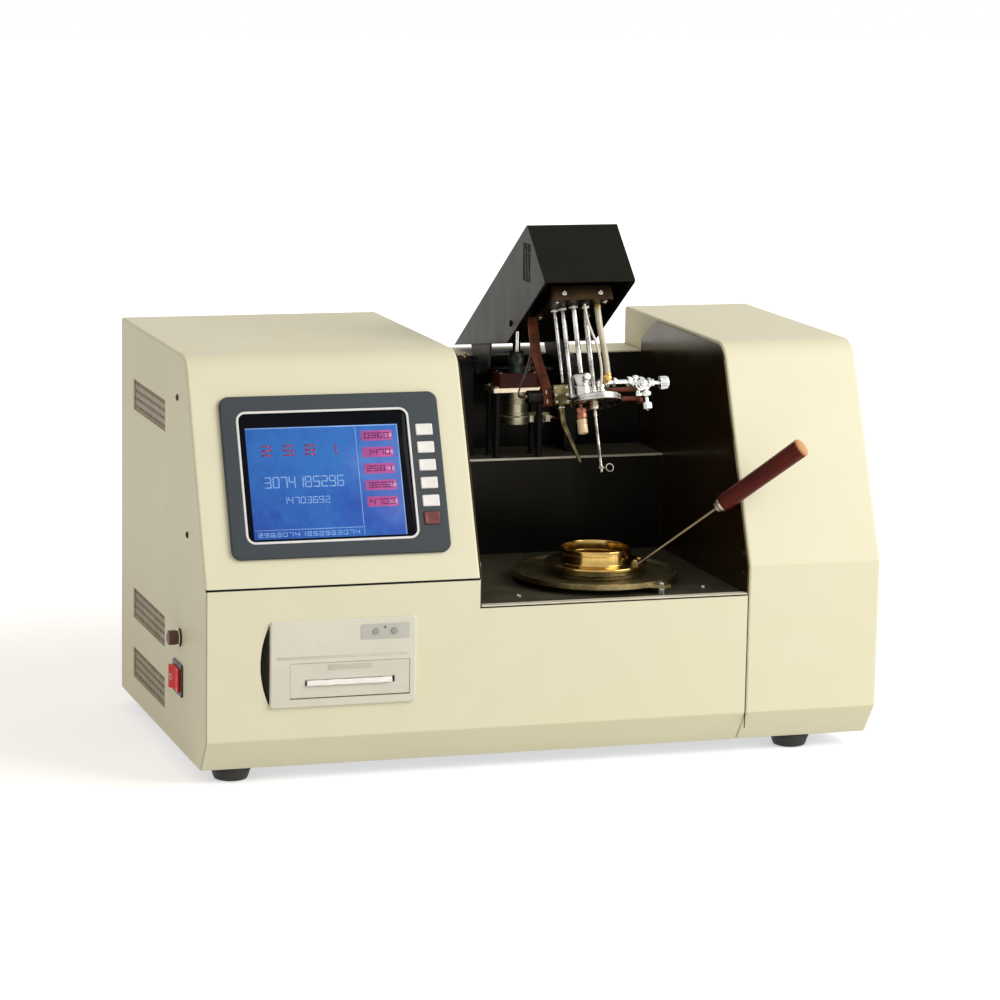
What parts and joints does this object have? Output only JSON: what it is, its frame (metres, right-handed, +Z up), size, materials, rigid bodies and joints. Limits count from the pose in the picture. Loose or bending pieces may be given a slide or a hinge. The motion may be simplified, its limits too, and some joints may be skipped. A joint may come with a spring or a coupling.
{
  "type": "flash point tester",
  "caption": "Bench open-cup flash point tester with a cabinet, a brass cup on a hot plate, a hinged arm with a test head, a sloping screen and a panel printer.",
  "frame": {"origin": "on the bench, below the middle of the whole object's box", "axes": "+X to the object's right seen from its front, +Y to its back, +Z up"},
  "size_m": [0.6742, 0.4163, 0.499],
  "materials": {
    "cream_paint": "satin",
    "black_paint": "satin",
    "arm_paint": "satin",
    "liner_gloss": "gloss",
    "galvanised": "satin",
    "lip_trim": "satin",
    "plate_metal": "brushed",
    "cup_brass": "polished",
    "heater_iron": "matte",
    "handle_wire": "polished",
    "ferrule_metal": "polished",
    "grip_wood": "lacquered",
    "arm_chassis": "satin",
    "shaft_steel": "ground",
    "bearing_paint": "satin",
    "lift_metal": "satin",
    "gearbox_paint": "satin",
    "guide_green": "anodised",
    "rod_chrome": "polished",
    "head_metal": "satin",
    "disc_metal": "machined",
    "clamp_metal": "knurled",
    "probe_steel": "polished",
    "insulator": "glazed",
    "valve_chrome": "polished",
    "knob_metal": "polished",
    "hose_rubber": "matte",
    "bar_copper": "satin",
    "sweep_motor_case": "satin",
    "flame_metal": "tarnished",
    "bezel_grey": "fine grain",
    "screen_face": "lit",
    "key_white": "satin",
    "key_red": "satin",
    "printer_grey": "fine grain",
    "door_grey": "fine grain",
    "roller_rubber": "matte",
    "paper": "paper",
    "vent_mesh": "matte",
    "switch_black": "satin",
    "rocker_red": "gloss",
    "fuse_black": "satin",
    "fuse_cap_plastic": "satin",
    "inlet_black": "satin",
    "inlet_brass": "satin",
    "supply_case": "satin",
    "board_green": "satin",
    "foot_rubber": "matte",
    "screw_steel": "satin"
  },
  "bodies": {
    "base": {"base_tray": "galvanised", "left_cover": "cream_paint", "front_panel": "cream_paint", "right_cover": "cream_paint", "rear_panel": "cream_paint", "bay_tub": "black_paint", "bay_side_panels": "liner_gloss", "deck_lip": "lip_trim", "test_plate": "plate_metal", "heater_block": "heater_iron", "arm_bearings": "bearing_paint", "lift_bracket": "lift_metal", "lift_gearbox": "gearbox_paint", "lift_guide": "guide_green", "lift_motor": "lift_metal", "screen_bezel": "bezel_grey", "screen_panel": "screen_face", "printer_case": "printer_grey", "vent_screens": "vent_mesh", "switch_frame": "switch_black", "fuse_holder": "fuse_black", "power_inlet": "inlet_black", "gas_inlet": "inlet_brass", "power_supply": "supply_case", "control_board": "board_green", "feet": "foot_rubber", "screws": "screw_steel"},
    "arm": {"arm_cover": "arm_paint", "arm_frame": "arm_chassis", "arm_shaft": "shaft_steel", "head_bracket": "head_metal", "carrier_rods": "rod_chrome", "carrier_disc": "disc_metal", "probe_clamp": "clamp_metal", "temperature_probe": "probe_steel", "detector_ring": "probe_steel", "flame_sensor": "insulator", "gas_manifold": "valve_chrome", "gas_hose": "hose_rubber", "sweep_bracket": "bar_copper", "sweep_motor": "sweep_motor_case"},
    "lift": {"lift_rod": "rod_chrome"},
    "cup": {"cup": "cup_brass", "cup_handle_wire": "handle_wire", "cup_handle_ferrule": "ferrule_metal", "cup_handle_grip": "grip_wood"},
    "flame": {"flame_tube": "flame_metal"},
    "knob_main": {"gas_knob_main": "knob_metal"},
    "knob_pilot": {"gas_knob_pilot": "knob_metal"},
    "key_1": {"key_1": "key_white"},
    "key_2": {"key_2": "key_white"},
    "key_3": {"key_3": "key_white"},
    "key_4": {"key_4": "key_white"},
    "key_5": {"key_5": "key_white"},
    "key_stop": {"key_stop": "key_red"},
    "door": {"printer_door": "door_grey"},
    "roller": {"printer_roller": "roller_rubber"},
    "paper": {"paper_roll": "paper"},
    "rocker": {"switch_rocker": "rocker_red"},
    "fuse": {"fuse_cap": "fuse_cap_plastic"}
  },
  "joints": [
    {"name": "arm_lift", "type": "hinge", "parent": "base", "child": "arm", "pos_m": [0.06115, 0.11284, 0.338], "axis": [1, 0, 0], "range_deg": [0, 23]},
    {"name": "lift_rod_slide", "type": "slide", "parent": "base", "child": "lift", "axis": [0, 0, 1], "range_m": [-0.0236, 0]},
    {"name": "cup_turn", "type": "hinge", "parent": "base", "child": "cup", "pos_m": [0.08115, -0.08216, 0.176], "axis": [0, 0, 1], "range_deg": [-75, 0]},
    {"name": "flame_sweep", "type": "slide", "parent": "arm", "child": "flame", "axis": [1, 0, 0], "range_m": [0, 0.063]},
    {"name": "gas_knob_main_turn", "type": "hinge", "parent": "arm", "child": "knob_main", "pos_m": [0.12845, -0.10464, 0.35286], "axis": [1, 0, 0], "range_deg": [0, 720]},
    {"name": "gas_knob_pilot_turn", "type": "hinge", "parent": "arm", "child": "knob_pilot", "pos_m": [0.11935, -0.11008, 0.34006], "axis": [0, -0.3907, -0.9205], "range_deg": [0, 720]},
    {"name": "key_1_press", "type": "slide", "parent": "base", "child": "key_1", "axis": [0, 0.921, -0.3895], "range_m": [0, 0.001], "stiffness_N_per_m": 150, "springref_m": -0.001},
    {"name": "key_2_press", "type": "slide", "parent": "base", "child": "key_2", "axis": [0, 0.921, -0.3895], "range_m": [0, 0.001], "stiffness_N_per_m": 150, "springref_m": -0.001},
    {"name": "key_3_press", "type": "slide", "parent": "base", "child": "key_3", "axis": [0, 0.921, -0.3895], "range_m": [0, 0.001], "stiffness_N_per_m": 150, "springref_m": -0.001},
    {"name": "key_4_press", "type": "slide", "parent": "base", "child": "key_4", "axis": [0, 0.921, -0.3895], "range_m": [0, 0.001], "stiffness_N_per_m": 150, "springref_m": -0.001},
    {"name": "key_5_press", "type": "slide", "parent": "base", "child": "key_5", "axis": [0, 0.921, -0.3895], "range_m": [0, 0.001], "stiffness_N_per_m": 150, "springref_m": -0.001},
    {"name": "key_stop_press", "type": "slide", "parent": "base", "child": "key_stop", "axis": [0, 0.921, -0.3895], "range_m": [0, 0.001], "stiffness_N_per_m": 150, "springref_m": -0.001},
    {"name": "printer_door_hinge", "type": "hinge", "parent": "base", "child": "door", "pos_m": [-0.18835, -0.18036, 0.0848], "axis": [1, 0, 0], "range_deg": [0, 95]},
    {"name": "printer_roller_turn", "type": "hinge", "parent": "door", "child": "roller", "pos_m": [-0.18835, -0.17446, 0.1075], "axis": [1, 0, 0], "continuous": true},
    {"name": "paper_roll_turn", "type": "hinge", "parent": "base", "child": "paper", "pos_m": [-0.18835, -0.14116, 0.0968], "axis": [1, 0, 0], "continuous": true},
    {"name": "switch_rock", "type": "hinge", "parent": "base", "child": "rocker", "pos_m": [-0.32185, -0.07116, 0.0825], "axis": [0, 0, 1], "range_deg": [-14, 0]},
    {"name": "fuse_cap_turn", "type": "hinge", "parent": "base", "child": "fuse", "pos_m": [-0.32385, -0.07716, 0.1225], "axis": [-1, 0, 0], "range_deg": [0, 90]}
  ],
  "couplings": [
    {"joint": "lift_rod_slide", "follows": "arm_lift", "m_per_rad": -0.058541}
  ]
}
